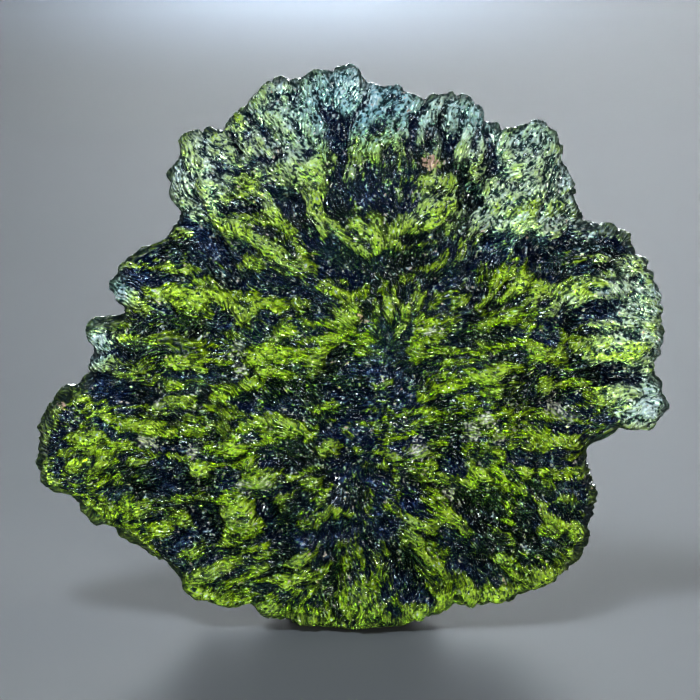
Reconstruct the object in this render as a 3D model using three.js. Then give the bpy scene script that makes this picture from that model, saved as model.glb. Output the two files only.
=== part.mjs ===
// A natural moldavite: one fan-shaped plate of green impact glass, thick at its heart and foot and thin at its
// lobed rim, etched into tufts that run out from a centre on both faces. It stands on a small flat spot.
// Millimetres, +Z up. X runs along the plate and Y through it, with the richly etched face towards -Y.
// The origin is under the middle of the stone's box, on the plane that it stands on.
import * as THREE from "three";
import { mergeVertices } from "three/addons/utils/BufferGeometryUtils.js";

// Driving dimensions
const GRID = 46; // mesh steps from side to side of each face, and a quarter of the steps round the rim
const RIM_STEPS = 4; // steps round the rim, from the face to the back
const FLOW_CENTRE = { x: 2.3, z: 17.0 }; // where the tufts run out from
const SPINE_HALF = 3.6; // half the length of the upright line that the centre is drawn out into
const BULGE = { face: 5.0, back: 4.9 }; // from the mid plane to each face, at the centre
const BULGE_POWER = 1.7; // under 2 gives a section that thins quickly towards the rim
const RIM_HALF = { top: 0.75, foot: 3.5 }; // half the rim's thickness at the lobes and at the foot
const FOOT_SPREAD = 0.42; // how far the thick foot reaches round the rim, as a share of a half turn
const RIM_ROUNDING = 0.7; // how far the rim rounds inwards, at most
const RIM_LEAN = 0.38; // how far the lobes lean out of the mid plane, for each wave of 1
const NOTCH_BLUR = 0.22; // radians over which the rim is averaged to smooth its notches away
const NOTCH_POWER = 3; // a higher power keeps the folds below the rim's notches nearer to the rim
const RELIEF_FADE = { rate: 6, least: 0.2 }; // how quickly the relief grows inwards from the rim
const SOLE_CUT = 0.55; // how much of the lowest curve the flat spot takes away

// The rim seen from the front, x and z, clockwise from the top
const RIM = [
  // top lobes
  [-0.4, 38.6], [0.3, 38.5], [0.7, 37.8], [1.1, 37.2], [2.2, 37.4], [2.9, 37.7], [3.5, 37.2], [4.0, 36.7],
  [4.7, 36.6], [5.4, 36.4], [5.8, 36.7], [6.3, 36.8], [7.3, 36.8], [8.5, 36.1], [9.0, 35.2], [9.6, 34.5],
  // upper right lobe, down to its step
  [10.3, 34.2], [11.1, 34.8], [11.9, 35.2], [12.7, 34.9], [13.3, 34.1], [13.9, 33.1], [14.5, 31.7], [15.1, 30.3],
  [14.7, 29.4], [15.1, 28.3], [15.7, 27.7],
  // right shoulder
  [17.0, 27.8], [18.3, 27.3], [18.6, 26.5], [19.5, 25.4], [20.1, 24.1], [20.7, 22.7], [20.8, 21.9], [20.4, 21.0],
  [20.9, 20.1], [20.9, 19.2], [20.5, 18.6], [20.1, 18.0],
  // right lobe and the hollow below it
  [20.8, 17.1], [21.1, 16.2], [21.1, 15.4], [20.7, 14.5], [20.1, 14.1], [19.5, 14.3], [18.7, 14.4], [17.9, 14.1],
  [16.9, 13.4], [15.9, 12.5], [15.7, 11.6], [16.1, 10.7], [16.6, 9.9],
  // lower right side
  [16.4, 8.6], [16.2, 7.6], [15.9, 6.5], [15.1, 5.1], [14.6, 4.1], [13.5, 3.7], [11.9, 3.0], [10.6, 2.4],
  // foot
  [9.1, 2.1], [7.7, 1.9], [6.3, 1.7], [5.2, 1.0], [3.6, 0.5], [2.3, 0.2], [1.2, 0.1], [-0.1, 0.0],
  [-1.1, 0.1], [-2.3, 0.3], [-3.6, 0.5], [-4.6, 1.0], [-5.6, 1.3], [-6.7, 1.7], [-7.6, 1.8], [-8.3, 1.5],
  // long straight lower left edge
  [-9.5, 1.8], [-10.5, 2.5], [-11.4, 3.4], [-12.0, 4.1], [-13.1, 5.0], [-14.3, 6.0], [-15.4, 6.8], [-16.6, 7.3],
  [-17.7, 8.1], [-18.7, 9.2], [-19.7, 9.7], [-20.7, 10.1],
  // left nose
  [-21.1, 11.0], [-20.9, 12.1], [-20.8, 13.2], [-20.5, 14.6], [-19.9, 15.8], [-18.7, 16.7], [-17.9, 17.2],
  [-17.3, 17.8], [-17.3, 18.8], [-17.1, 19.4], [-17.5, 20.1], [-17.6, 20.6], [-17.1, 21.2], [-16.3, 21.3],
  // left hook
  [-15.1, 21.6], [-14.9, 22.1], [-15.3, 22.6], [-15.9, 22.9], [-16.1, 23.4], [-15.9, 24.3], [-15.2, 25.4],
  [-14.4, 25.8], [-13.5, 26.6], [-12.7, 26.7], [-11.9, 27.2], [-11.4, 28.2],
  // upper left ear, up to the top
  [-11.1, 29.0], [-11.8, 29.9], [-12.1, 30.6], [-11.9, 31.9], [-11.4, 33.0], [-10.7, 33.9], [-9.5, 34.2],
  [-8.8, 34.0], [-8.3, 34.8], [-7.5, 35.6], [-6.7, 35.9], [-6.2, 37.0], [-5.4, 37.7], [-4.7, 37.7],
  [-4.2, 37.2], [-3.3, 37.5], [-2.3, 38.1], [-1.4, 38.3],
];

// Deep furrows of the etched face: the line that each follows, its half width and its depth
const FURROWS = [
  { line: [[-4.1, 30.0], [-2.4, 27.1], [-0.4, 25.4], [0.7, 25.0]], half: 0.8, deep: 0.9 },
  { line: [[0.7, 25.2], [3.0, 25.4], [5.1, 25.9]], half: 0.72, deep: 0.81 },
  { line: [[5.7, 23.9], [8.7, 25.4], [9.9, 26.4], [12.2, 26.5], [14.3, 26.7]], half: 0.72, deep: 0.81 },
  { line: [[3.7, 27.0], [6.1, 27.3]], half: 0.51, deep: 0.45 },
  { line: [[0.1, 36.9], [-0.7, 35.8], [-1.1, 33.1], [-1.1, 30.9], [-0.4, 29.3]], half: 0.72, deep: 0.72 },
  { line: [[5.8, 35.7], [6.3, 33.8], [6.9, 32.1], [7.7, 29.7], [7.5, 28.1]], half: 0.8, deep: 0.81 },
  { line: [[0.5, 30.4], [2.9, 29.9]], half: 1.3, deep: 0.63 },
  { line: [[-8.6, 29.2], [-5.9, 28.9], [-4.4, 28.1]], half: 0.58, deep: 0.63 },
  { line: [[-11.1, 29.0], [-9.6, 28.0], [-7.4, 25.7]], half: 0.8, deep: 0.81 },
  { line: [[-14.4, 24.6], [-12.3, 24.1]], half: 0.87, deep: 0.63 },
  { line: [[-14.6, 22.0], [-11.3, 20.9], [-9.1, 20.7], [-7.0, 19.6]], half: 0.72, deep: 0.81 },
  { line: [[-8.0, 24.3], [-4.3, 24.3]], half: 0.72, deep: 0.54 },
  { line: [[-17.2, 18.0], [-14.9, 16.8], [-11.7, 17.6], [-9.9, 17.2]], half: 0.65, deep: 0.72 },
  { line: [[-0.9, 19.0], [-0.1, 17.6], [0.4, 15.2], [0.6, 12.0]], half: 1.16, deep: 0.9 },
  { line: [[-5.0, 17.4], [-2.0, 16.4]], half: 0.87, deep: 0.63 },
  { line: [[14.5, 21.7], [17.1, 22.8]], half: 0.65, deep: 0.72 },
  { line: [[17.2, 20.9], [18.0, 20.8]], half: 0.72, deep: 0.54 },
  { line: [[14.6, 17.4], [17.2, 18.1], [19.9, 17.9]], half: 0.65, deep: 0.72 },
  { line: [[-9.8, 9.6], [-9.8, 7.4]], half: 0.87, deep: 0.9 },
  { line: [[-12.9, 6.4], [-11.2, 4.6]], half: 0.65, deep: 0.72 },
  { line: [[-5.5, 9.3], [-5.0, 7.6]], half: 0.87, deep: 0.9 },
  { line: [[-1.2, 7.8], [-0.9, 2.4]], half: 0.65, deep: 0.72 },
  { line: [[3.4, 6.6], [4.0, 4.1], [5.4, 1.9]], half: 0.72, deep: 0.81 },
  { line: [[6.6, 14.2], [6.8, 12.2], [6.9, 9.4]], half: 0.65, deep: 0.72 },
  { line: [[7.3, 5.8], [9.6, 5.1], [10.4, 3.8]], half: 0.72, deep: 0.81 },
  { line: [[11.5, 7.6], [11.6, 6.2]], half: 0.87, deep: 0.72 },
  { line: [[15.7, 11.6], [13.4, 12.6], [11.6, 12.9]], half: 0.58, deep: 0.54 },
  { line: [[9.7, 34.3], [9.9, 31.9], [9.3, 29.4]], half: 0.72, deep: 0.63 },
  { line: [[-8.9, 33.9], [-7.6, 31.8], [-6.6, 30.6]], half: 0.65, deep: 0.54 },
];

const DEEPEST = 0.95; // where furrows meet, they go no deeper than this

// Swollen tufts of the etched face that stand out by their size: x, z, half length, half width, height
const TUFTS = [
  [-10.4, 31.4, 2.2, 1.4, 0.85], [-3.6, 31.8, 2.2, 1.2, 0.8], [-2.1, 32.4, 1.7, 1.4, 0.85],
  [-2.6, 29.3, 2.6, 1.4, 0.85], [-3.0, 25.8, 1.7, 1.4, 0.85], [-5.1, 28.0, 1.7, 1.4, 0.8],
  [-7.9, 28.0, 1.7, 1.0, 0.8], [-6.4, 25.3, 1.7, 1.0, 0.8], [-7.1, 22.9, 1.7, 1.2, 0.85],
  [-10.4, 23.1, 2.2, 1.0, 0.8], [-11.4, 19.7, 1.8, 1.0, 0.8], [-11.0, 18.5, 2.2, 1.0, 0.8],
  [-5.2, 19.4, 2.2, 1.0, 0.85], [-1.2, 19.6, 2.0, 1.0, 0.85], [-1.4, 23.4, 1.8, 1.0, 0.8],
  [1.6, 23.6, 1.7, 1.4, 0.85], [3.3, 23.0, 2.0, 1.0, 0.8], [5.0, 21.7, 1.7, 1.0, 0.7],
  [1.4, 27.2, 1.7, 1.4, 0.8], [5.1, 30.4, 1.7, 1.4, 0.8], [11.6, 29.0, 2.4, 1.4, 0.85],
  [12.6, 32.3, 2.3, 1.4, 0.7], [13.4, 22.9, 2.8, 1.2, 0.85], [18.0, 24.2, 1.7, 1.4, 0.8],
  [18.0, 19.6, 2.3, 1.4, 0.85], [19.4, 15.6, 1.7, 1.4, 0.8], [11.4, 11.2, 1.7, 1.0, 0.8],
  [12.6, 9.4, 1.7, 1.0, 0.7], [12.6, 7.4, 1.7, 1.0, 0.7], [4.4, 8.0, 1.7, 1.0, 0.85],
  [-14.4, 8.5, 1.7, 1.0, 0.8], [-7.4, 9.2, 1.7, 1.4, 0.85], [-10.2, 11.8, 2.8, 1.0, 0.7],
  [-17.6, 13.8, 1.8, 1.4, 0.7], [-3.2, 13.6, 2.0, 1.0, 0.7], [8.6, 19.0, 2.1, 1.4, 0.8],
];

// The smaller tufts between them: rings of domes about the flow centre
const FIRST_RING = 1.6; // its radius
const LAST_RING = 24;
const TUFT_STEP = 2.9; // from one ring of domes to the next
const TUFT_SPACE = 2.5; // from one dome to the next along a ring
const TUFT_STRAY = 0.6; // how far a dome strays from its even place, as a share of a step
const TUFT_HALF = { long: 2.4, wide: 1.45 };
const TUFT_HIGH = { least: 0.3, more: 0.45 };
const BACK_SCALE = 1.15; // the back's domes are larger
const BACK_PITS = [ // shallow dimples of the back: x, z, radius, depth
  [-6.5, 24.0, 3.4, 0.9], [7.5, 27.5, 3.0, 0.8], [12.5, 14.5, 3.2, 0.9], [-12.0, 14.0, 3.0, 0.8],
  [1.0, 15.5, 3.6, 0.8], [-3.5, 33.0, 2.4, 0.6], [5.0, 7.5, 2.6, 0.6], [-8.0, 6.5, 2.2, 0.6],
];

// A number from 0 to 1 that is always the same for the same n
function scatter(n) {
  const s = Math.sin(n * 127.1 + 11.7) * 43758.5453;
  return s - Math.floor(s);
}

// Domes in rings about the flow centre, each lying along the flow
function ringsOfDomes(scale, seed) {
  const domes = [];
  let n = seed;
  for (let radius = FIRST_RING * scale; radius < LAST_RING; radius += TUFT_STEP * scale) {
    const count = Math.round((2 * Math.PI * radius) / (TUFT_SPACE * scale));
    for (let i = 0; i < count; i++) {
      n += 4;
      const turn = ((i + TUFT_STRAY * (scatter(n) - 0.5)) / count + scatter(radius)) * 2 * Math.PI;
      const out = radius + TUFT_STEP * scale * TUFT_STRAY * (scatter(n + 1) - 0.5);
      domes.push({
        x: FLOW_CENTRE.x + out * Math.cos(turn),
        z: FLOW_CENTRE.z + (out + SPINE_HALF) * Math.sin(turn),
        long: TUFT_HALF.long * scale * (0.8 + 0.5 * scatter(n + 2)),
        wide: TUFT_HALF.wide * scale,
        high: TUFT_HIGH.least + TUFT_HIGH.more * scatter(n + 3),
      });
    }
  }
  return domes;
}

// How high the highest dome stands over a point, with every dome turned along its own flow line
function domeHeight(domes, x, z) {
  let height = 0;
  for (const dome of domes) {
    const alongX = dome.x - FLOW_CENTRE.x;
    const heightUp = dome.z - FLOW_CENTRE.z;
    const alongZ = heightUp - THREE.MathUtils.clamp(heightUp, -SPINE_HALF, SPINE_HALF);
    const length = Math.hypot(alongX, alongZ) || 1;
    const along = ((x - dome.x) * alongX + (z - dome.z) * alongZ) / length / dome.long;
    const across = ((z - dome.z) * alongX - (x - dome.x) * alongZ) / length / dome.wide;
    height = Math.max(height, dome.high * (1 - along * along - across * across));
  }
  return height;
}

// The nearest distance from a point to a line of points
function distanceTo(line, x, z) {
  const point = new THREE.Vector3(x, 0, z);
  const near = new THREE.Vector3();
  let least = Infinity;
  for (let i = 1; i < line.length; i++) {
    const [from, to] = [line[i - 1], line[i]].map(([px, pz]) => new THREE.Vector3(px, 0, pz));
    new THREE.Line3(from, to).closestPointToPoint(point, true, near);
    least = Math.min(least, near.distanceTo(point));
  }
  return least;
}

const hollow = (distance, half, deep) => deep * Math.exp(-((distance / half) ** 2));
const bigTufts = TUFTS.map(([x, z, long, wide, high]) => ({ x, z, long, wide, high }));
const faceDomes = [...ringsOfDomes(1, 1), ...bigTufts];
const backDomes = ringsOfDomes(BACK_SCALE, 5000);

function faceRelief(x, z) {
  const cut = FURROWS.reduce((sum, f) => sum + hollow(distanceTo(f.line, x, z), f.half, f.deep), 0);
  return domeHeight(faceDomes, x, z) - Math.min(cut, DEEPEST);
}

function backRelief(x, z) {
  const cut = BACK_PITS.map(([px, pz, radius, deep]) => hollow(Math.hypot(x - px, z - pz), radius, deep));
  return domeHeight(backDomes, x, z) - cut.reduce((sum, depth) => sum + depth, 0);
}

const rim = new THREE.CatmullRomCurve3(RIM.map(([x, z]) => new THREE.Vector3(x, 0, z)), true, "centripetal");
rim.arcLengthDivisions = RIM.length * 12;
const turnOf = (x, z) => Math.atan2(z - FLOW_CENTRE.z, x - FLOW_CENTRE.x);
const reachOf = (x, z) => Math.hypot(z - FLOW_CENTRE.z, x - FLOW_CENTRE.x);
const rimRays = RIM.map(([x, z]) => ({ turn: turnOf(x, z), reach: reachOf(x, z) }));

// How far the rim is from the centre in one direction, with its lobes and notches smoothed away
function smoothReach(turn) {
  let sum = 0;
  let weights = 0;
  for (const ray of rimRays) {
    const apart = Math.atan2(Math.sin(ray.turn - turn), Math.cos(ray.turn - turn));
    const weight = Math.exp(-((apart / NOTCH_BLUR) ** 2));
    sum += weight * ray.reach;
    weights += weight;
  }
  return sum / weights;
}

// The rim's thickness, rounding and lean in one direction from the centre
function rimSection(turn) {
  const fromFoot = Math.abs(Math.atan2(Math.sin(turn + Math.PI / 2), Math.cos(turn + Math.PI / 2))) / Math.PI;
  const foot = Math.exp(-((fromFoot / FOOT_SPREAD) ** 2));
  const waves = Math.sin(3 * turn + 0.6) + 0.6 * Math.sin(7 * turn + 2.1) + 0.4 * Math.sin(11 * turn);
  const half = RIM_HALF.top + (RIM_HALF.foot - RIM_HALF.top) * foot;
  return { half, round: Math.min(half, RIM_ROUNDING), lean: RIM_LEAN * waves * (1 - foot) };
}

// A point of a square from -1 to 1 on a round disc, as its share of the way out and of the way round
function discPlace(across, up) {
  const x = across * Math.sqrt(1 - (up * up) / 2);
  const z = up * Math.sqrt(1 - (across * across) / 2);
  return { share: Math.min(1, Math.hypot(x, z)), round: Math.atan2(z, x) / (2 * Math.PI) };
}

// Where a point of the unit box goes on the stone. The box's low Y side becomes the etched face.
function placeOf(boxPoint) {
  const { share, round } = discPlace(boxPoint.x, boxPoint.z);
  const rimPoint = rim.getPointAt(THREE.MathUtils.euclideanModulo(0.25 - round, 1));
  const turn = turnOf(rimPoint.x, rimPoint.z);
  const section = rimSection(turn);
  const roll = (boxPoint.y * Math.PI) / 2;
  const out = share * (reachOf(rimPoint.x, rimPoint.z) - section.round * (1 - Math.cos(roll)));
  const x = FLOW_CENTRE.x + Math.cos(turn) * out;
  const z = FLOW_CENTRE.z + Math.sin(turn) * out;
  let y = section.half * Math.sin(roll);
  if (Math.abs(boxPoint.y) === 1) {
    const isFace = boxPoint.y < 0;
    const smoothShare = Math.min(1, out / smoothReach(turn));
    const thinning = smoothShare + (share - smoothShare) * share ** NOTCH_POWER;
    const bulge = (isFace ? BULGE.face : BULGE.back) - section.half;
    const fade = Math.min(1, (1 - share) * RELIEF_FADE.rate + RELIEF_FADE.least);
    const relief = (isFace ? faceRelief(x, z) : backRelief(x, z)) * fade;
    y = boxPoint.y * (section.half + bulge * (1 - thinning ** BULGE_POWER) + relief);
  }
  return new THREE.Vector3(x, y + section.lean * share ** NOTCH_POWER, Math.max(0, z - SOLE_CUT));
}

// Cuts every four-sided cell of the grid along its shorter diagonal, so that skewed cells leave no slivers
function cutAlongShorterDiagonals(grid) {
  const position = grid.getAttribute("position");
  const index = grid.getIndex();
  const point = (i) => new THREE.Vector3().fromBufferAttribute(position, i);
  for (let i = 0; i < index.count; i += 6) {
    const [a, b, d, , c] = index.array.slice(i, i + 6);
    if (point(a).distanceTo(point(c)) < point(b).distanceTo(point(d))) {
      index.array.set([a, b, c, a, c, d], i);
    }
  }
}

// An evenly divided box gives the closed mesh, and each of its points is moved to its place on the stone
function stoneGeometry() {
  const box = new THREE.BoxGeometry(2, 2, 2, GRID, RIM_STEPS, GRID);
  box.deleteAttribute("normal");
  box.deleteAttribute("uv");
  const stone = mergeVertices(box, 1e-4);
  const position = stone.getAttribute("position");
  for (let i = 0; i < position.count; i++) {
    const place = placeOf(new THREE.Vector3().fromBufferAttribute(position, i));
    position.setXYZ(i, place.x, place.y, place.z);
  }
  cutAlongShorterDiagonals(stone);
  stone.computeBoundingBox();
  const middle = stone.boundingBox.getCenter(new THREE.Vector3());
  stone.translate(-middle.x, -middle.y, 0);
  stone.computeVertexNormals();
  return stone;
}

function moldavite() {
  const glass = new THREE.MeshStandardMaterial({ color: 0x3f5a12, roughness: 0.35, metalness: 0 });
  const stone = new THREE.Mesh(stoneGeometry(), glass);
  stone.name = "moldavite";
  return stone;
}

const group = new THREE.Group();
group.add(moldavite());
export default group;
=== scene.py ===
import bpy
import bmesh
import math
import numpy as np
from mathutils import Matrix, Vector, noise


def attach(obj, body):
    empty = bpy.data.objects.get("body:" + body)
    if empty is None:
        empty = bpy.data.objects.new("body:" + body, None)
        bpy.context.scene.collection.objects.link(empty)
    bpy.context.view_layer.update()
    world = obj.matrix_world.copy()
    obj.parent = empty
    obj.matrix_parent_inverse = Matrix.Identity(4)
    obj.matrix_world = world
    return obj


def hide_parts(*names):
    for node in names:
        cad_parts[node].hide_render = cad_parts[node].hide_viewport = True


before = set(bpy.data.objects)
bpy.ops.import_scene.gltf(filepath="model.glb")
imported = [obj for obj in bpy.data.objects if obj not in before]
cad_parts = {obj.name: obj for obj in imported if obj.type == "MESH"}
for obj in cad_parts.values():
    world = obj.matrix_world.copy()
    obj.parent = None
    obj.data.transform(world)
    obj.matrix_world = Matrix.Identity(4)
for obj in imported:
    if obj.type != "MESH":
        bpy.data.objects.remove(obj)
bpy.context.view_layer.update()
print("frame loaded")

# the photograph's view: from the etched face, a little above, through a long lens
camera = {
    "distance": 0.30,
    "elevation": 15.0,
    "fieldWidth": 0.04667,  # what the 700 pixels span at the stone
    "target": (-0.00007, 0.0, 0.01876),
    "sensor": 36.0,
    "clip": (0.01, 20.0),
}


def makeCamera(look):
    tilt = math.radians(look["elevation"])
    target = Vector(look["target"])
    away = Vector((0.0, -math.cos(tilt), math.sin(tilt)))
    data = bpy.data.cameras.new("photoCamera")
    data.sensor_width = look["sensor"]
    data.lens = look["sensor"] * look["distance"] / look["fieldWidth"]
    data.clip_start, data.clip_end = look["clip"]
    made = bpy.data.objects.new("photoCamera", data)
    made.location = target + away * look["distance"]
    made.rotation_euler = (math.pi / 2 - tilt, 0.0, 0.0)
    bpy.context.scene.collection.objects.link(made)
    bpy.context.scene.camera = made


makeCamera(camera)
print("camera placed")

# the stone's form, in millimetres
stone = {
    "flowCentre": (2.27, 16.45),  # x and z that the relief runs out from
    "spineHalf": 3.6,  # the centre is drawn out into an upright line of twice this
    "swirl": (1.0, 6.0, 91.3),  # radians that the flow wanders, over what length, and its noise's shift
    "streakSteps": 7,  # how many noises along the flow make one streak
    "mergeWithin": 0.002,  # points of the solid that are nearer than this are one
    "smoothing": 2,  # subdivision levels over the solid
    "sole": (0.05, 0.7),  # up to what height it stays flat, and over what height the relief then grows
    # rounded lumps with sharp valleys, drawn out along the flow: width, reach, height
    "lumps": [(1.7, 2.0, 0.38), (0.80, 1.0, 0.24), (0.45, 0.6, 0.12)],
    "lumpLimit": 1.2,
    "lumpShift": 57,
    # how far places wander, over what length, and the shifts of the noise for x and z
    "warp": (0.6, 1.8, 3.1, 47.7),  # the tongues' places
    "ragged": (0.35, 1.1, 21.3, 66.1),  # the strokes' borders
    # the camera looks down a little, so it sees a point of the face at z + y * seenTilt + seenLift,
    # and areas and strokes are placed by that height
    "seenTilt": 0.268,
    "seenLift": 0.57,
    "carve": (0.38, 0.14),  # how deep dark strokes are cut, and how high lime ones stand
    "backShare": 0.5,  # how much of the strokes shows on the back
    "settle": 0.06,  # how far the middling height lies under the solid's surface
    "highest": (0.42, 0.34),  # how far the relief may stand out on the face, and on the back
    # relief values for the material: rounds of averaging, and the full height
    "reliefSpread": {"ridge": (8, 0.10), "bundle": (90, 0.55)},
    # noise that breaks the colours up: width, reach, shift, weight
    "patches": [(1.15, 1.0, 12.9, 1.0), (0.5, 0.7, 77.1, 0.8)],
    "limeShares": (0.6, 1.3),  # what areas add to the lime strokes, and what dark strokes take away
    "turnedOver": 38.0,  # the back's dust is placed as if the stone, this tall, stood on its head
    "rimFacing": (0.3, 0.8),  # how far forward or back a surface faces where the rim is full, and ends
    "rimRounds": 2,
}

# overlapping tongues of glass that lie along the flow, in rings round the centre
tongues = {
    "seed": 31,
    "step": 2.1,  # between rings
    "start": 0.4,  # the first ring, in steps
    "outermost": 26.0,
    "space": 1.7,  # between tongues
    "fewest": 3,
    "fill": 0.75,  # the share that is kept
    "turn": 0.25,  # radians off the flow
    "halfLong": (0.95, 2.85),
    "halfWide": (0.51, 1.19),
    "high": (0.12, 0.50),
    "highPower": 1.3,  # above 1, low tongues are commoner
    "lift": 0.4,  # how much higher the outer end is
    "margin": 1.1,  # how far a tongue is felt, in half lengths
}

# soft areas of the face: x, z, reach across, reach up, strength
areas = {
    # thin lobes, where the light comes through
    "pale": [
        (-2.0, 37.2, 5.5, 2.8, 0.9), (6.5, 36.0, 3.6, 2.8, 0.9), (12.2, 32.8, 3.4, 3.6, 1.0),
        (-10.2, 31.5, 1.8, 3.2, 1.0), (19.2, 22.5, 2.6, 4.2, 0.55), (18.6, 19.2, 3.0, 2.4, 0.5),
        (11.6, 28.6, 3.8, 1.3, 1.4), (19.6, 15.2, 2.0, 1.9, 0.75), (-15.6, 23.4, 1.4, 1.3, 0.8),
        (-17.0, 19.6, 1.1, 1.6, 0.8), (-5.0, 33.8, 3.4, 2.6, 0.5), (15.5, 23.0, 3.0, 1.2, 0.4),
        (-4.0, 30.0, 4.5, 3.5, 0.22), (3.5, 29.5, 4.0, 3.0, 0.2),
    ],
    # where the thin glass is teal with a painted bluish glare on it, and where the dark glass gets a
    # painted bluish reflection
    "tealAndGlare": [
        (0.7, 36.6, 3.2, 2.8, 1.0), (-15.7, 23.4, 1.5, 1.2, 0.7), (12.5, 34.0, 2.5, 2.0, 0.4),
        (20.5, 16.0, 1.5, 2.0, 0.5), (-17.0, 19.5, 1.3, 1.5, 0.7), (8.5, 35.5, 2.0, 2.0, 0.5),
        (20.5, 24.0, 1.5, 3.0, 0.4), (-4.0, 36.0, 4.0, 2.0, 0.3), (5.0, 35.0, 4.0, 2.6, 0.3),
        (1.6, 29.6, 2.6, 1.6, 0.8), (2.2, 17.6, 2.0, 2.4, 0.7), (-2.0, 33.0, 4.0, 2.0, 0.3),
        (-3.6, 23.6, 1.6, 1.0, 0.7), (0.6, 11.2, 1.6, 1.0, 0.6), (-9.6, 17.4, 3.0, 0.6, 0.7),
        (2.6, 7.6, 2.4, 1.8, 0.5),
    ],
    # painted white highlights on the tips, and a painted bluish glare at the top
    "tipGlare": [
        (-15.7, 23.0, 0.7, 0.5, 1.0), (-16.8, 20.1, 0.8, 0.6, 1.0), (-17.0, 19.0, 0.5, 0.5, 1.0),
        (20.7, 19.6, 0.6, 1.2, 1.0), (20.2, 16.2, 1.1, 1.1, 0.9), (19.2, 14.9, 1.6, 0.5, 1.0),
        (15.9, 11.4, 0.5, 0.5, 0.9), (0.7, 37.2, 1.6, 1.7, 0.7), (8.4, 36.4, 1.1, 1.0, 0.8),
        (12.4, 34.9, 0.9, 0.5, 0.9), (14.6, 31.2, 0.9, 2.2, 0.7), (20.2, 22.9, 0.6, 1.3, 0.8),
        (-4.4, 37.4, 0.8, 0.6, 0.6), (-11.6, 31.6, 0.5, 1.6, 0.6), (17.2, 27.7, 1.6, 0.5, 0.7),
        (13.4, 28.2, 1.6, 0.6, 0.4),
    ],
    # where yellow-green streams crowd together, and where they are missing
    "lime": [
        (-10.5, 21.8, 4.5, 1.3, 0.5), (-2.0, 19.6, 3.0, 1.4, 0.6), (3.5, 28.0, 3.2, 2.2, 0.4),
        (-2.2, 30.0, 2.6, 2.0, 0.4), (-15.5, 13.0, 3.5, 1.6, 0.25), (-9.0, 3.6, 4.5, 0.9, 0.4),
        (-13.5, 6.6, 3.5, 0.9, 0.4), (10.5, 2.2, 4.0, 1.0, 0.4), (-12.5, 10.0, 5.0, 2.6, -0.35),
        (15.0, 20.5, 3.5, 1.6, 0.2), (12.5, 18.0, 5.0, 3.0, -0.2), (4.5, 19.0, 2.0, 2.6, 0.2),
        (-2.0, 14.0, 3.0, 3.0, -0.2), (1.5, 33.5, 1.8, 1.2, 0.5), (7.5, 24.5, 2.5, 1.2, 0.3),
        (0.2, 17.0, 2.6, 1.5, -0.9), (-3.0, 24.5, 2.4, 2.2, -0.5), (1.2, 30.6, 1.9, 1.6, -0.7),
        (-12.0, 25.6, 3.0, 1.1, -0.6), (-3.5, 8.5, 3.0, 2.0, -0.5), (3.0, 7.0, 2.6, 3.6, -0.5),
        (8.8, 26.0, 4.0, 0.8, -0.6), (-15.5, 17.0, 1.6, 2.0, -0.5), (6.0, 14.6, 2.5, 2.0, -0.3),
        (13.8, 7.6, 2.4, 2.5, -0.4), (-1.0, 12.0, 3.2, 1.8, -0.35), (17.5, 26.0, 3.0, 1.0, -0.6),
    ],
    # pale dust left in the pits
    "dust": [
        (-13.7, 13.1, 0.7, 0.5, 1.0), (-12.7, 15.6, 0.5, 0.5, 0.8), (-10.5, 12.3, 0.6, 0.5, 0.8),
        (-7.0, 10.0, 0.7, 0.6, 0.9), (-5.6, 10.2, 0.6, 0.5, 0.8), (7.9, 13.8, 0.6, 0.8, 1.0),
        (8.9, 14.7, 0.6, 0.5, 1.0), (9.8, 13.3, 0.6, 0.6, 0.9), (13.5, 15.2, 0.7, 0.5, 0.9),
        (14.5, 14.6, 0.7, 0.5, 0.9), (4.4, 12.5, 0.8, 0.8, 0.9), (6.3, 9.4, 0.7, 0.6, 0.9),
        (5.3, 20.6, 0.8, 0.4, 0.9), (-7.5, 19.5, 0.6, 0.4, 0.8), (-7.3, 18.0, 0.5, 0.5, 0.9),
        (-12.7, 23.0, 0.5, 0.5, 0.8),
    ],
    # a pinkish-beige inclusion, and two small ones
    "pink": [
        (5.2, 31.9, 0.42, 0.65, 1.2), (0.6, 21.6, 0.2, 0.35, 0.9), (-19.3, 15.6, 0.2, 0.3, 1.0),
    ],
}
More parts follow.
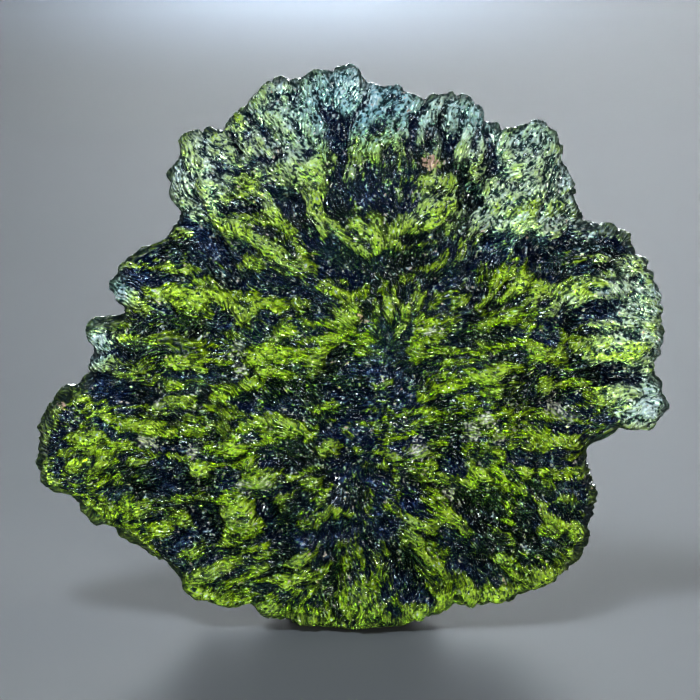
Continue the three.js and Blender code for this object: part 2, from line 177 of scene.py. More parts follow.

# strokes along the etched face, given as half width, strength, and the points they pass, x and z
strokes = {
    # furrows and streams of dark glass
    "dark": [
        (0.6, 1.0, [(-4.1, 29.2), (-2.9, 27.6), (-1.3, 26.1), (0.5, 24.9)]),
        (0.4, 0.7, [(-0.7, 34.0), (-0.7, 32.2), (-0.9, 30.4), (-0.4, 29.0)]),
        (0.6, 0.9, [(-11.1, 28.3), (-9.7, 27.2), (-8.2, 26.1), (-7.5, 25.7)]),
        (0.33, 0.7, [(-7.9, 29.2), (-6.1, 29.1)]),
        (0.47, 0.7, [(-15.1, 24.5), (-13.1, 24.1), (-11.2, 24.3)]),
        (0.6, 1.0, [(-12.8, 22.1), (-11.1, 21.2), (-9.5, 20.6), (-8.2, 21.2)]),
        (0.6, 0.8, [(-6.7, 24.3), (-4.7, 24.1), (-3.0, 23.2), (-1.8, 22.1)]),
        (0.4, 0.8, [(-11.9, 17.6), (-9.1, 17.6), (-7.6, 17.3)]),
        (0.53, 0.6, [(-9.3, 31.2), (-7.6, 30.4)]),
        (0.6, 1.0, [(-0.7, 25.2), (0.6, 24.9), (2.3, 25.5), (3.9, 25.4), (5.1, 25.9)]),
        (0.4, 0.8, [(3.7, 26.8), (5.8, 27.2)]),
        (0.6, 1.0, [(5.1, 23.9), (6.3, 24.3), (7.6, 25.1), (8.9, 25.9), (9.4, 26.8)]),
        (0.53, 0.9, [(9.4, 27.2), (11.6, 26.8), (13.5, 25.4)]),
        (0.8, 0.9, [(6.3, 36.1), (5.9, 34.9), (5.7, 33.4)]),
        (0.53, 0.8, [(6.7, 31.9), (7.6, 30.1), (8.5, 29.2)]),
        (0.6, 0.7, [(0.1, 30.1), (1.8, 29.2), (2.8, 28.8)]),
        (0.53, 1.0, [(12.9, 21.2), (15.1, 21.7), (16.4, 22.5), (17.9, 23.2)]),
        (0.33, 0.7, [(16.4, 21.7), (17.7, 21.5)]), (0.33, 0.7, [(1.5, 24.0), (1.1, 22.8), (0.7, 20.8)]),
        (0.33, 0.7, [(3.6, 23.7), (3.9, 21.7), (3.6, 20.3)]),
        (0.47, 0.6, [(8.6, 23.3), (7.6, 21.7), (7.1, 20.1)]),
        (1.0, 1.1, [(-0.7, 18.5), (0.7, 17.7), (0.1, 16.3)]),
        (0.47, 0.8, [(14.7, 18.5), (17.1, 17.9), (18.9, 17.2)]),
        (0.4, 0.6, [(12.3, 20.3), (13.5, 20.1)]),
        (0.67, 0.7, [(14.1, 26.5), (16.4, 26.9), (18.3, 26.4)]),
        (0.67, 1.0, [(-17.1, 17.0), (-15.7, 16.6), (-14.3, 16.3)]),
        (0.4, 0.8, [(-16.9, 14.5), (-16.0, 13.6)]),
        (0.67, 0.9, [(-7.0, 15.8), (-5.3, 16.4), (-3.3, 16.3), (-1.8, 16.9), (-0.1, 16.6)]),
        (0.6, 1.0, [(-14.0, 9.5), (-12.8, 9.9), (-10.8, 10.3), (-8.3, 10.4)]),
        (0.67, 1.2, [(-10.1, 8.5), (-9.6, 7.6), (-9.4, 6.6)]), (0.53, 1.2, [(-5.7, 8.6), (-5.4, 7.8)]),
        (0.6, 1.1, [(-12.5, 5.4), (-11.4, 6.4), (-10.5, 6.6)]),
        (0.6, 0.7, [(-4.7, 5.0), (-3.5, 5.9), (-1.8, 6.6), (-0.4, 7.3)]),
        (0.47, 0.7, [(-3.3, 9.5), (-4.1, 7.7), (-4.9, 7.0)]),
        (0.53, 0.7, [(-1.3, 13.7), (-2.5, 12.6), (-3.9, 11.7)]),
        (0.47, 0.8, [(-11.9, 5.0), (-11.5, 3.7)]), (0.4, 0.7, [(-12.8, 12.8), (-11.1, 12.7)]),
        (0.8, 1.0, [(-0.3, 18.8), (1.1, 17.7), (2.3, 18.0)]), (0.33, 1.0, [(6.9, 13.4), (7.0, 11.6)]),
        (0.93, 0.9, [(7.9, 9.0), (8.5, 6.9), (9.4, 6.1)]),
        (0.47, 1.0, [(2.7, 6.1), (3.3, 4.6), (3.6, 3.4), (4.2, 2.5), (5.2, 2.0)]),
        (0.6, 1.0, [(7.0, 6.1), (7.6, 4.9), (8.8, 4.6), (9.7, 3.7)]),
        (0.67, 1.1, [(11.6, 8.3), (11.9, 6.1)]), (0.4, 0.7, [(13.3, 8.3), (14.9, 7.9)]),
        (0.47, 0.7, [(12.1, 10.1), (12.7, 9.2), (15.6, 10.1)]),
        (0.47, 0.7, [(11.7, 16.3), (13.1, 15.9), (14.9, 16.0)]), (0.4, 0.7, [(4.0, 10.1), (3.9, 8.9)]),
        (0.4, 0.7, [(1.9, 10.1), (1.7, 8.3)]), (0.4, 0.7, [(10.9, 11.9), (12.7, 11.4)]),
        (0.93, 0.6, [(2.9, 19.3), (3.3, 17.6), (3.1, 15.9)]), (0.67, 0.6, [(-0.7, 9.7), (0.1, 8.6)]),
        (0.67, 0.6, [(2.3, 7.6), (1.4, 6.2)]), (0.53, 0.6, [(12.9, 24.1), (13.6, 25.0), (15.9, 25.0)]),
        (0.6, 0.7, [(-16.1, 20.0), (-14.7, 19.2), (-12.7, 19.3)]),
        (0.6, 0.5, [(-19.4, 14.5), (-19.9, 12.4), (-19.7, 10.7)]),
        (0.8, 0.5, [(15.6, 9.0), (16.1, 7.6)]),
        (0.67, 0.6, [(-14.7, 11.0), (-12.7, 11.3), (-11.1, 11.2)]),
        (0.6, 0.6, [(-2.2, 36.2), (-1.4, 35.2)]), (0.53, 0.5, [(-6.3, 34.1), (-5.9, 32.4)]),
        (0.6, 0.6, [(3.6, 36.6), (4.1, 34.5)]),
    ],
    # streams that the light comes through
    "lime": [
        (0.67, 0.8, [(-7.3, 30.0), (-6.5, 30.7)]),
        (0.6, 0.8, [(-8.3, 28.1), (-6.9, 28.1), (-5.0, 28.3), (-4.4, 27.2)]),
        (0.67, 0.9, [(-3.0, 25.7), (-2.6, 25.1)]), (0.6, 0.8, [(-7.0, 25.4), (-5.0, 25.7)]),
        (0.67, 0.8, [(-11.9, 23.4), (-9.1, 22.8), (-6.9, 22.6), (-3.5, 22.8)]),
        (0.67, 0.5, [(-7.7, 22.8), (-6.2, 22.8)]),
        (0.6, 0.9, [(-12.1, 20.4), (-10.5, 19.9), (-9.1, 19.9)]),
        (0.47, 0.9, [(-11.9, 18.5), (-10.1, 18.3)]),
        (0.53, 0.9, [(-6.7, 18.8), (-4.7, 19.0), (-3.4, 19.4)]),
        (0.67, 1.0, [(-1.8, 19.5), (-0.4, 19.9), (0.6, 20.0)]),
        (0.47, 0.6, [(-15.1, 23.5), (-13.7, 23.2)]), (0.6, 0.7, [(-1.3, 23.9), (-0.4, 22.6)]),
        (0.6, 0.6, [(-3.2, 31.0), (-1.8, 29.0), (-0.6, 27.4)]),
        (0.53, 0.6, [(-2.5, 33.7), (-1.5, 32.6)]), (0.53, 0.6, [(-5.5, 34.8), (-4.1, 33.7)]),
        (0.47, 0.7, [(0.1, 32.6), (1.7, 33.5), (2.9, 33.5)]), (0.6, 0.6, [(4.9, 30.8), (6.4, 30.8)]),
        (0.53, 0.8, [(4.9, 28.9), (7.0, 28.8)]), (0.73, 0.9, [(0.5, 27.7), (3.0, 27.3), (5.7, 27.8)]),
        (0.67, 0.8, [(0.5, 28.1), (2.6, 28.0)]), (0.6, 0.6, [(8.2, 24.6), (9.4, 24.8)]),
        (0.6, 0.9, [(10.6, 24.1), (12.7, 23.4), (14.9, 23.4), (16.4, 23.9)]),
        (0.4, 0.7, [(7.6, 22.5), (8.2, 22.1)]), (0.53, 0.8, [(4.5, 21.5), (5.5, 21.5)]),
        (0.67, 0.8, [(9.7, 28.9), (12.7, 29.2), (14.1, 28.6)]), (0.47, 0.8, [(2.9, 23.7), (3.3, 22.3)]),
        (0.47, 0.8, [(1.2, 23.7), (2.3, 23.7)]), (0.53, 0.8, [(3.7, 18.8), (4.9, 18.8)]),
        (0.67, 0.6, [(8.8, 21.0), (10.9, 21.5), (12.3, 20.1)]),
        (0.6, 0.6, [(12.3, 18.9), (14.9, 18.5)]), (0.67, 0.6, [(8.5, 17.2), (10.6, 17.9)]),
        (0.67, 0.7, [(16.4, 19.2), (20.1, 19.5)]), (0.6, 0.6, [(17.0, 20.4), (19.9, 20.6)]),
        (0.67, 0.6, [(-17.3, 15.5), (-15.9, 14.9), (-15.1, 14.0)]),
        (0.53, 0.8, [(-18.6, 13.4), (-17.3, 12.8), (-15.7, 12.7)]),
        (0.4, 0.7, [(-20.1, 11.3), (-18.3, 11.4), (-16.6, 11.8), (-15.7, 11.8)]),
        (0.4, 0.8, [(-14.7, 13.9), (-12.8, 14.0), (-11.4, 13.6), (-9.7, 13.6), (-8.3, 14.5)]),
        (0.47, 0.9, [(-10.2, 11.3), (-8.3, 11.4), (-6.5, 11.9)]),
        (0.47, 0.9, [(-9.1, 12.2), (-6.9, 12.7), (-5.0, 13.2), (-3.4, 14.0)]),
        (0.4, 0.7, [(-2.9, 13.6), (-1.3, 14.5)]),
        (0.53, 0.9, [(-17.3, 8.2), (-15.5, 8.2), (-13.8, 8.3)]),
        (0.6, 1.0, [(-12.8, 7.0), (-11.7, 7.7), (-10.2, 7.3)]),
        (0.4, 1.0, [(-15.1, 6.8), (-14.0, 5.9), (-12.8, 5.2)]),
        (0.4, 1.0, [(-11.4, 3.9), (-10.1, 2.5), (-8.7, 1.7), (-7.6, 2.2)]),
        (0.8, 0.7, [(-8.4, 8.8), (-6.4, 8.6), (-6.6, 7.0), (-8.1, 6.9)]),
        (0.47, 0.6, [(-3.9, 10.6), (-3.0, 11.0)]), (0.4, 0.6, [(-1.1, 10.1), (-0.7, 10.1)]),
        (0.6, 0.7, [(-11.9, 17.0), (-10.8, 15.7)]), (0.53, 0.7, [(-9.3, 15.9), (-8.5, 16.3)]),
        (0.47, 0.9, [(-7.5, 16.4), (-5.6, 17.6), (-4.6, 17.7)]),
        (0.4, 0.7, [(-1.1, 12.8), (0.5, 12.7)]), (0.47, 0.7, [(-1.3, 8.3), (0.5, 8.2)]),
        (0.47, 0.6, [(-7.3, 5.3), (-5.7, 5.7)]), (0.53, 0.5, [(-6.1, 3.5), (-2.5, 2.8)]),
        (0.4, 0.6, [(0.5, 12.6), (1.7, 12.1)]), (0.53, 0.6, [(2.7, 16.9), (3.6, 16.6)]),
        (0.53, 0.9, [(4.5, 16.0), (5.2, 15.5)]), (0.6, 0.6, [(5.5, 16.9), (7.6, 16.6)]),
        (0.67, 0.7, [(10.3, 15.4), (12.7, 14.9)]),
        (0.53, 0.7, [(10.7, 14.1), (12.7, 13.4), (15.6, 12.6)]),
        (0.47, 0.8, [(12.9, 10.9), (15.6, 10.8)]), (0.47, 0.8, [(13.1, 8.9), (14.7, 8.8)]),
        (0.53, 0.8, [(12.7, 7.4), (14.5, 7.2), (15.1, 6.3)]),
        (0.47, 0.9, [(6.1, 2.5), (8.2, 2.6), (10.3, 2.5), (11.7, 2.9), (13.9, 3.9), (15.1, 4.9)]),
        (0.53, 0.9, [(4.2, 7.1), (5.5, 7.2), (6.4, 8.1)]),
        (0.67, 0.6, [(3.7, 6.5), (5.5, 5.4), (6.7, 5.2)]), (0.47, 0.7, [(9.7, 5.4), (10.6, 5.2)]),
        (0.6, 0.6, [(8.1, 10.8), (10.0, 10.8)]), (0.47, 0.6, [(3.4, 1.7), (5.7, 1.5)]),
        (0.47, 0.5, [(-0.7, 2.1), (0.1, 0.9)]), (0.6, 0.5, [(12.9, 16.9), (14.9, 16.7), (16.6, 16.2)]),
        (0.6, 0.7, [(13.9, 20.0), (15.9, 19.7)]), (0.6, 0.5, [(-3.4, 16.2), (-2.2, 15.2)]),
        (0.47, 0.6, [(-5.4, 19.7), (-4.4, 20.7)]), (0.53, 0.6, [(5.9, 19.7), (7.9, 19.3)]),
    ],
}


def flowAt(x, z):
    # unit direction away from the nearest point of the spine
    centreX, centreZ = stone["flowCentre"]
    half = stone["spineHalf"]
    up = z - centreZ
    away = np.stack([x - centreX, up - np.clip(up, -half, half)], axis=-1)
    length = np.linalg.norm(away, axis=-1, keepdims=True)
    return away / np.maximum(length, 1e-6)


def turned(lay, angle):
    x, z = lay.T
    cosine, sine = np.cos(angle), np.sin(angle)
    return np.stack([x * cosine - z * sine, x * sine + z * cosine], axis=-1)


def between(ends, share):
    low, high = ends
    return low + (high - low) * share


def smoothNoise(points, length, shift):
    # a wandering value from about -1 to 1 at each point
    return np.array([noise.noise(Vector(point)) for point in points / length + shift])


def wander(points, up, look):
    # x and a height, moved about by smooth noise
    far, length, shiftX, shiftUp = look
    across = points[:, 0] + far * smoothNoise(points, length, shiftX)
    return across, up + far * smoothNoise(points, length, shiftUp)


def streaks(points, lay, width, reach, shift):
    # noise drawn out along the flow, mostly from -1 to 1
    along = np.column_stack([lay[:, 0], np.zeros(len(points)), lay[:, 1]])
    steps = np.linspace(-reach, reach, stone["streakSteps"])
    total = sum(smoothNoise(points + along * step, width, shift) for step in steps)
    return total / (2 * total.std())


def scatterTongues(look, draws):
    # centres, directions, half lengths, half widths and heights
    centreX, centreZ = stone["flowCentre"]
    rows = []
    radius = look["step"] * look["start"]
    while radius < look["outermost"]:
        count = max(look["fewest"], round(2 * math.pi * radius / look["space"]))
        turns = (np.arange(count) + draws.random(count)) / count
        out = radius + look["step"] * (draws.random(count) - 0.5)
        x = centreX + out * np.cos(turns * 2 * math.pi)
        z = centreZ + (out + stone["spineHalf"]) * np.sin(turns * 2 * math.pi)
        lay = turned(flowAt(x, z), look["turn"] * draws.standard_normal(count))
        long = between(look["halfLong"], draws.random(count))
        wide = between(look["halfWide"], draws.random(count))
        high = between(look["high"], draws.random(count) ** look["highPower"])
        row = np.column_stack([x, z, lay, long, wide, high])
        rows.append(row[draws.random(count) < look["fill"]])
        radius += look["step"]
    return np.concatenate(rows)


def raiseTongues(x, z, rows, look):
    # the height of the highest tongue over each point
    best = np.zeros(len(x))
    for cx, cz, dx, dz, long, wide, high in rows:
        reach = long * look["margin"]
        near = np.nonzero((np.abs(x - cx) < reach) & (np.abs(z - cz) < reach))[0]
        along = ((x[near] - cx) * dx + (z[near] - cz) * dz) / long
        across = ((z[near] - cz) * dx - (x[near] - cx) * dz) / wide
        raised = high * (1 - along ** 2 - across ** 2) * (1 + look["lift"] * along)
        best[near] = np.maximum(best[near], raised)
    return best


def smoothCopy(name, node):
    # the solid's own surface, joined back into four-sided faces and smoothed
    mesh = bpy.data.meshes.new(name)
    work = bmesh.new()
    work.from_mesh(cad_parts[node].data)
    bmesh.ops.remove_doubles(work, verts=work.verts, dist=stone["mergeWithin"] / 1000)
    bmesh.ops.join_triangles(
        work, faces=work.faces, angle_face_threshold=math.pi, angle_shape_threshold=math.pi)
    work.to_mesh(mesh)
    work.free()
    made = bpy.data.objects.new(name, mesh)
    bpy.context.scene.collection.objects.link(made)
    rounder = made.modifiers.new("rounder", "SUBSURF")
    rounder.levels = rounder.render_levels = stone["smoothing"]
    bpy.context.view_layer.update()
    smooth = bpy.data.meshes.new_from_object(made.evaluated_get(bpy.context.evaluated_depsgraph_get()))
    made.modifiers.clear()
    made.data = smooth
    print("solid copied and smoothed:", len(smooth.polygons), "faces")
    return made


def spreadOut(mesh, values, rounds):
    # values averaged with their neighbours', again and again
    ends = np.zeros(len(mesh.edges) * 2, np.int32)
    mesh.edges.foreach_get("vertices", ends)
    first, second = ends.reshape(-1, 2).T
    count = len(values)
    degree = np.bincount(first, minlength=count) + np.bincount(second, minlength=count)
    for _ in range(rounds):
        total = np.bincount(first, values[second], count) + np.bincount(second, values[first], count)
        values = total / degree
    return values


def softAreas(x, z, rows):
    # the sum of soft round-edged areas
    total = np.zeros(len(x))
    for cx, cz, across, up, strength in rows:
        total += strength * np.exp(-((x - cx) / across) ** 2 - ((z - cz) / up) ** 2)
    return total


def strokeCover(x, z, rows):
    # the strength of the strongest stroke at each point, softly fading beside it
    total = np.zeros(len(x))
    for half, strength, points in rows:
        nearest = np.full(len(x), np.inf)
        for (ax, az), (bx, bz) in zip(points, points[1:]):
            runX, runZ = bx - ax, bz - az
            along = np.clip(((x - ax) * runX + (z - az) * runZ) / (runX ** 2 + runZ ** 2), 0, 1)
            nearest = np.minimum(nearest, np.hypot(x - ax - along * runX, z - az - along * runZ))
        total = np.maximum(total, strength * np.exp(-(nearest / half) ** 2))
    return total


def reliefHeight(points, lay, isBack, darkCover, limeCover):
    # how far each point of the smooth surface moves out
    warpedX, warpedZ = wander(points, points[:, 2], stone["warp"])
    draws = np.random.default_rng(tongues["seed"])
    height = np.zeros(len(points))
    for side in (False, True):
        here = isBack == side
        rows = scatterTongues(tongues, draws)
        height[here] = raiseTongues(warpedX[here], warpedZ[here], rows, tongues)
    for width, reach, high in stone["lumps"]:
        lump = np.abs(streaks(points, lay, width, reach, width * stone["lumpShift"]))
        height += high * np.minimum(lump, stone["lumpLimit"])
    deep, proud = stone["carve"]
    height += proud * limeCover - deep * darkCover
    faceHighest, backHighest = stone["highest"]
    height = height - np.median(height) - stone["settle"]
    height = np.minimum(height, np.where(isBack, backHighest, faceHighest))
    flat, growth = stone["sole"]
    return height * np.clip((points[:, 2] - flat) / growth, 0, 1)


def sculptStone(piece):
    mesh = piece.data
    points = np.array([vertex.co[:] for vertex in mesh.vertices]) * 1000
    normals = np.array([vertex.normal[:] for vertex in mesh.vertices])
    x, y, z = points.T
    isBack = normals[:, 1] > 0
    swing, length, shift = stone["swirl"]
    lay = turned(flowAt(x, z), swing * smoothNoise(points, length, shift))
    seenUp = z + y * stone["seenTilt"] + stone["seenLift"]
    raggedX, raggedUp = wander(points, seenUp, stone["ragged"])
    shown = np.where(isBack, stone["backShare"], 1.0)
    darkCover = strokeCover(raggedX, raggedUp, strokes["dark"]) * shown
    limeCover = strokeCover(raggedX, raggedUp, strokes["lime"]) * shown
    height = reliefHeight(points, lay, isBack, darkCover, limeCover)
    moved = points + normals * height[:, None]
    moved[:, 2] = np.maximum(moved[:, 2], 0)
    mesh.vertices.foreach_set("co", (moved / 1000).astype(np.float32).ravel())
    values = {"patch": np.zeros(len(points))}
    for width, reach, shift, weight in stone["patches"]:
        values["patch"] += weight * streaks(points, lay, width, reach, shift)
    for name, (rounds, full) in stone["reliefSpread"].items():
        flat = np.column_stack([spreadOut(mesh, column, rounds) for column in moved.T])
        values[name] = np.clip(((moved - flat) * normals).sum(axis=1) / full, -1, 1)
    for name, rows in areas.items():
        values[name] = softAreas(x, seenUp, rows)
    areaShare, darkShare = stone["limeShares"]
    values["lime"] = values["lime"] * areaShare + limeCover - darkCover * darkShare
    # the back has its own dust, and no inclusions
    turnedDust = softAreas(-x, stone["turnedOver"] - seenUp, areas["dust"])
    values["dust"] = np.where(isBack, turnedDust, values["dust"])
    values["pink"] = np.where(isBack, 0.0, values["pink"])
    # where the surface turns sideways: the material paints shade there and roughens it
    full, end = stone["rimFacing"]
    sideways = np.clip((end - np.abs(normals[:, 1])) / (end - full), 0, 1)
    values["rim"] = spreadOut(mesh, sideways, stone["rimRounds"])
    for name, value in values.items():
        mesh.attributes.new(name, "FLOAT", "POINT").data.foreach_set("value", value.astype(np.float32))
    laid = np.column_stack([lay, np.zeros(len(points))]).astype(np.float32)
    mesh.attributes.new("lay", "FLOAT_VECTOR", "POINT").data.foreach_set("vector", laid.ravel())
    mesh.update()
    mesh.shade_smooth()
    print("stone sculpted")


class Wire:
    # a shader socket that can be used in sums
    def __init__(self, shader, socket):
        self.shader = shader
        self.socket = socket

    def maths(self, operation, first, second=0.0):
        return self.shader.node("ShaderNodeMath", {"operation": operation}, {0: first, 1: second})

    def __add__(self, other):
        return self.maths("ADD", self, other)

    def __radd__(self, other):
        return self.maths("ADD", other, self)

    def __sub__(self, other):
        return self.maths("SUBTRACT", self, other)

    def __rsub__(self, other):
        return self.maths("SUBTRACT", other, self)

    def __mul__(self, other):
        return self.maths("MULTIPLY", self, other)

    def __rmul__(self, other):
        return self.maths("MULTIPLY", other, self)

    def __abs__(self):
        return self.maths("ABSOLUTE", self)


class Shader:
    # one material and the nodes that are added to it
    def __init__(self, name):
        self.material = bpy.data.materials.new(name)
        self.material.use_nodes = True
        self.tree = self.material.node_tree
        self.tree.nodes.clear()

    def node(self, kind, settings=None, sockets=None, output=0):
        made = self.tree.nodes.new(kind)
        for name, value in (settings or {}).items():
            setattr(made, name, value)
        for name, value in (sockets or {}).items():
            if isinstance(value, Wire):
                self.tree.links.new(value.socket, made.inputs[name])
            else:
                made.inputs[name].default_value = value
        return Wire(self, made.outputs[output])

    def mix(self, factor, first, second):
        return self.node("ShaderNodeMix", {"data_type": "RGBA"}, {0: factor, 6: first, 7: second}, 2)

    def part(self, vector, axis):
        return self.node("ShaderNodeSeparateXYZ", None, {0: vector}, axis)

    def other(self, wire, output):
        # another output of the same node
        return Wire(self, wire.socket.node.outputs[output])

    def rise(self, value, low, high, full=1.0):
        # 0 below low, full above high, and smooth between them
        return self.node("ShaderNodeMapRange", {"interpolation_type": "SMOOTHSTEP"}, {
            0: value, 1: low, 2: high, 4: full})

    def attribute(self, name, output="Fac"):
        return self.node("ShaderNodeAttribute", {"attribute_name": name}, output=output)

    def cloud(self, place, perMetre, detail):
        # smooth noise, as much below 0 as above it
        sockets = {"Vector": place, "Scale": perMetre, "Detail": detail}
        return self.node("ShaderNodeTexNoise", None, sockets) - 0.5

    def finish(self, surface, volume=None):
        end = self.tree.nodes.new("ShaderNodeOutputMaterial")
        self.tree.links.new(surface.socket, end.inputs["Surface"])
        if volume:
            self.tree.links.new(volume.socket, end.inputs["Volume"])
        return self.material


glass = {
    "ior": 1.49,
    "transmission": 0.6,
    "roughness": (0.10, 0.45),  # of clean glass, and of dust and the rim
    "absorbColour": (0.60, 0.74, 0.05, 1.0),
    "absorbDensity": 240.0,
    "colours": {
        "blackGreen": (0.002, 0.006, 0.010, 1.0),
        # dark glass with a painted bluish reflection
        "reflectedNavy": (0.003, 0.008, 0.040, 1.0),
        "fluteSheen": (0.10, 0.16, 0.18, 1.0),
        "blueSheen": (0.11, 0.18, 0.40, 1.0),
        "glint": (0.50, 0.62, 0.74, 1.0),
        "olive": (0.060, 0.108, 0.022, 1.0),
        "lime": (0.46, 0.62, 0.018, 1.0),
        "paleLight": (0.86, 1.0, 0.80, 1.0),
        "paleYellow": (0.66, 0.88, 0.14, 1.0),
        "paleDark": (0.02, 0.055, 0.070, 1.0),
        # teal of the thin glass, with a painted bluish glare
        "tealLight": (0.46, 0.76, 0.86, 1.0),
        # painted highlight and glare on the tips and the top
        "tipGlare": (0.80, 0.95, 1.0, 1.0),
        # painted shade: a dark line along the rim where the surface turns sideways
        "rim": (0.010, 0.028, 0.030, 1.0),
        "dust": (0.95, 0.93, 0.86, 1.0),
        "pink": (0.76, 0.52, 0.43, 1.0),
    },
    "cellsPerMetre": 650.0,  # bunches of flutes
    "cellTurn": 0.9,  # radians that the direction differs between neighbouring bunches
    "fluteWander": 1.4,  # radians that it wanders from the flow
    "fluteWobble": 2.0,  # how far the flutes bend, in flutes
    "flutesPerMetre": (3300.0, 4600.0),  # the fewest and the most in a bunch
    "strandsPerMetre": (3600.0, 1700.0),  # across and along
    "strandShift": 20.0,  # sets the strands of neighbouring bunches apart
    "fluteDepth": 0.00018,
    # smooth noise: how fine, to the metre, and its detail
    "clouds": {
        "wander": (300.0, 0.0), "wobble": (1300.0, 0.0), "zone": (260.0, 1.0),
        "speck": (1700.0, 2.0), "grain": (4200.0, 1.0),
    },
    # sums of the noises, of the stone's attributes and of one another
    "sums": {
        "flake": {"speck": 1.4, "grain": 2.0},
        "relief": {"flute": 0.7, "strand": 2.4},  # the height of the finest relief
        "edge": {"relief": 1.0, "flake": 0.8},
        "stream": {"patch": 0.4, "ridge": 0.5, "bundle": 0.4, "lime": 1.0},
    },
    # where each colour shows: a sum, where it starts and is full, and how much it then covers
    "masks": {
        # patches of painted bluish reflection on the dark glass and its sheen
        "blueReflection": ({"zone": 1.0, "tealAndGlare": 0.3}, -0.12, 0.10),
        "sheen": ({"edge": 1.0}, 0.15, 1.05),
        "glint": ({"relief": 1.0, "flake": 0.4}, 0.9, 1.4),
        "bright": ({"edge": 0.9, "stream": 0.5}, -0.245, 1.555),
        "lime": ({"stream": 1.0, "edge": 0.9}, -0.045, 0.905),
        "yellow": ({"stream": 1.0, "flake": 1.0}, 0.0, 1.5),
        "tealAndGlare": ({"tealAndGlare": 1.0, "flake": 0.4}, 0.1, 0.9),
        "facet": ({"speck": 1.2, "grain": 3.4, "relief": 1.0, "ridge": 0.4}, -0.3, 0.85),
        "thin": ({"pale": 1.0, "bundle": 0.2, "stream": 0.25}, 0.15, 0.8),
        # painted shade: the hollows between the lumps take the dark glass colour
        "creaseShade": ({"ridge": -1.0, "bundle": -0.2, "flake": -0.5}, 0.5, 1.2, 0.8),
        "tipGlare": ({"tipGlare": 0.9, "pale": 0.3, "flake": 1.2, "relief": 0.5}, 0.55, 1.3),
        # painted shade along the rim, broken up where the flutes stand out
        "rim": ({"rim": 1.0, "edge": -0.45}, -0.0775, 0.9225, 0.85),
        "dust": ({"dust": 1.0, "flake": 1.2, "relief": -0.35, "ridge": -0.2}, 0.35, 1.2, 0.9),
        "pink": ({"pink": 1.0, "flake": 0.9, "relief": -0.2}, 0.4, 0.75),
        "rough": ({"dust": 1.0, "rim": 1.0}, 0.2, 0.8),
    },
}


def weighted(fields, weights):
    # the sum of named values times their weights
    return sum(fields[name] * weight for name, weight in weights.items())


def fluteEdges(s, place, angle, wobble):
    # bunches of round grooves with sharp edges between them: 1 on an edge, down to 0 in a groove
    sockets = {"Vector": place, "Scale": glass["cellsPerMetre"]}
    bunch = s.node("ShaderNodeTexVoronoi", None, sockets, "Color")
    middle = s.other(bunch, "Position")
    local = s.node("ShaderNodeVectorMath", {"operation": "SUBTRACT"}, {0: place, 1: middle})
    turn = angle + (s.part(bunch, 0) - 0.5) * glass["cellTurn"]
    cosine, sine = turn.maths("COSINE", turn), turn.maths("SINE", turn)
    across = s.part(local, 2) * cosine - s.part(local, 0) * sine
    along = s.part(local, 0) * cosine + s.part(local, 2) * sine
    few, many = glass["flutesPerMetre"]
    count = few + s.part(bunch, 1) * (many - few)
    phase = across * count + s.part(bunch, 2) + wobble
    flute = 1 - abs(phase.maths("SINE", phase * math.pi))
    # short strands of unequal height along the same direction
    narrow, long = glass["strandsPerMetre"]
    strandPlace = s.node("ShaderNodeCombineXYZ", None, {
        0: across * narrow, 1: along * long,
        2: s.part(bunch, 2) * glass["strandShift"] + s.part(place, 1) * long})
    return flute, s.cloud(strandPlace, 1.0, 1.0)


def glassMaterial():
    s = Shader("moldaviteGlass")
    place = s.node("ShaderNodeTexCoord", output="Object")
    lay = s.attribute("lay", "Vector")
    flow = s.node("ShaderNodeMath", {"operation": "ARCTAN2"}, {0: s.part(lay, 1), 1: s.part(lay, 0)})
    fields = {name: s.cloud(place, *row) for name, row in glass["clouds"].items()}
    for name in ("patch", "ridge", "bundle", "rim", *areas):
        fields[name] = s.attribute(name)
    angle = flow + fields["wander"] * glass["fluteWander"]
    wobble = fields["wobble"] * glass["fluteWobble"]
    fields["flute"], fields["strand"] = fluteEdges(s, place, angle, wobble)
    for name, weights in glass["sums"].items():
        fields[name] = weighted(fields, weights)
    masks = {name: s.rise(weighted(fields, row[0]), *row[1:]) for name, row in glass["masks"].items()}
    colours = glass["colours"]
    # the dark glass, and its painted sheen, take a painted bluish reflection in patches
    shade = s.mix(masks["blueReflection"], colours["blackGreen"], colours["reflectedNavy"])
    sheen = s.mix(masks["blueReflection"], colours["fluteSheen"], colours["blueSheen"])
    dark = s.mix(masks["glint"], s.mix(masks["sheen"], shade, sheen), colours["glint"])
    bright = s.mix(masks["bright"], colours["olive"], colours["lime"])
    light = s.mix(masks["yellow"], colours["paleLight"], colours["paleYellow"])
    thin = s.mix(masks["facet"], colours["paleDark"], s.mix(masks["tealAndGlare"], light, colours["tealLight"]))
    tint = s.mix(masks["lime"], dark, bright)
    tint = s.mix(masks["thin"], tint, thin)
    # painted shade in the hollows
    tint = s.mix(masks["creaseShade"], tint, shade)
    # painted highlights and glare on the tips, painted shade along the rim, then the stone's own dust
    # and inclusion
    for name in ("tipGlare", "rim", "dust", "pink"):
        tint = s.mix(masks[name], tint, colours[name])
    smooth, rough = glass["roughness"]
    groove = s.node("ShaderNodeBump", None, {
        "Strength": 1.0, "Distance": glass["fluteDepth"], "Height": fields["relief"]})
    surface = s.node("ShaderNodeBsdfPrincipled", None, {
        "Base Color": tint, "Roughness": smooth + masks["rough"] * (rough - smooth), "Normal": groove,
        "IOR": glass["ior"], "Transmission Weight": glass["transmission"]})
    absorb = s.node("ShaderNodeVolumeAbsorption", None, {
        "Color": glass["absorbColour"], "Density": glass["absorbDensity"]})
    return s.finish(surface, absorb)


def makeStone():
    piece = smoothCopy("stone", "moldavite")
    sculptStone(piece)
    piece.data.materials.clear()
    piece.data.materials.append(glassMaterial())
    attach(piece, "root")
    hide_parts("moldavite")
    print("stone finished")


makeStone()

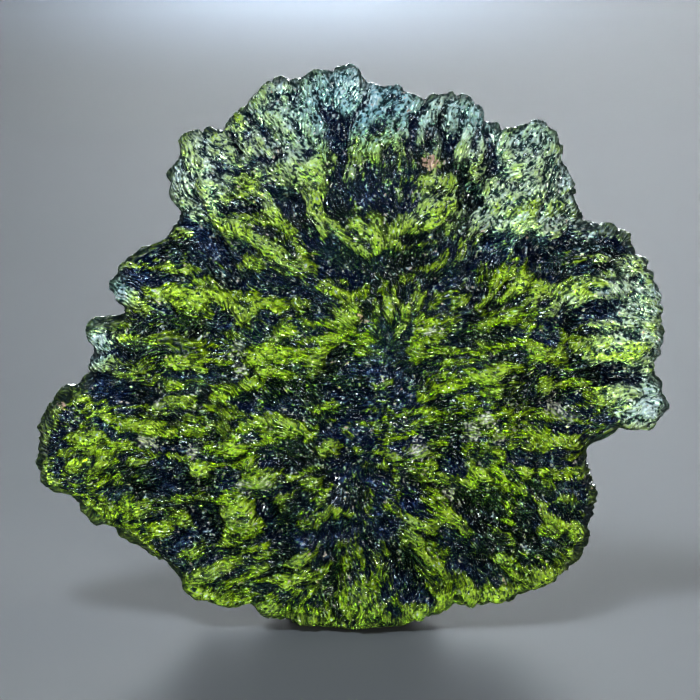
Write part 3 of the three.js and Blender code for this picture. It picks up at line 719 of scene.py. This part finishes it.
studio = {
    "floorRadius": 1.6,
    "floorSides": 96,
    "floorColour": (0.090, 0.092, 0.095, 1.0),
    "floorRoughness": 0.8,
    "worldColour": (0.60, 0.72, 0.90, 1.0),
    "worldStrength": 0.05,
    # name, place, what it aims at, size, power, spread in degrees, colour
    "lights": [
        ("backLow", (0.03, 0.44, 0.07), (0.0, 0.0, 0.02), 0.16, 0.09, 26, (0.92, 0.97, 1.0)),
        ("backSky", (0.0, 0.55, 0.40), (0.0, 0.0, 0.02), 0.25, 0.15, 180, (0.70, 0.84, 1.0)),
        ("floorGlow", (-0.005, 0.25, 0.06), (-0.005, 0.235, 0.0), 0.03, 0.02, 70, (0.62, 0.78, 1.0)),
        ("topKey", (-0.10, -0.20, 0.42), (0.0, 0.0, 0.02), 0.12, 1.9, 180, (0.82, 0.91, 1.0)),
        ("frontSoft", (0.16, -0.51, 0.12), (0.0, 0.0, 0.02), 0.14, 0.29, 60, (0.98, 1.0, 0.97)),
        ("leftSoft", (-0.42, -0.08, 0.14), (0.0, 0.0, 0.02), 0.12, 0.5, 180, (0.88, 0.95, 1.0)),
        ("rightSoft", (0.42, 0.04, 0.20), (0.0, 0.0, 0.02), 0.12, 0.5, 180, (1.0, 0.98, 0.94)),
    ],
}


def makeFloor():
    mesh = bpy.data.meshes.new("floor")
    work = bmesh.new()
    bmesh.ops.create_circle(
        work, cap_ends=True, segments=studio["floorSides"], radius=studio["floorRadius"])
    work.to_mesh(mesh)
    work.free()
    made = bpy.data.objects.new("floor", mesh)
    bpy.context.scene.collection.objects.link(made)
    s = Shader("floorPaper")
    mesh.materials.append(s.finish(s.node("ShaderNodeBsdfPrincipled", None, {
        "Base Color": studio["floorColour"], "Roughness": studio["floorRoughness"]})))


def makeLights():
    for name, place, aim, size, power, spread, colour in studio["lights"]:
        data = bpy.data.lights.new(name, "AREA")
        data.shape = "DISK"
        data.size = size
        data.energy = power
        data.spread = math.radians(spread)
        data.color = colour
        made = bpy.data.objects.new(name, data)
        made.visible_camera = False
        made.location = place
        made.rotation_euler = (Vector(aim) - Vector(place)).to_track_quat("-Z", "Y").to_euler()
        bpy.context.scene.collection.objects.link(made)
    world = bpy.data.worlds.new("studioWorld")
    world.use_nodes = True
    sky = world.node_tree.nodes["Background"]
    sky.inputs["Color"].default_value = studio["worldColour"]
    sky.inputs["Strength"].default_value = studio["worldStrength"]
    bpy.context.scene.world = world
    bpy.context.scene.view_settings.view_transform = "Standard"
    bpy.context.scene.view_settings.look = "High Contrast"


makeFloor()
makeLights()
print("studio made")
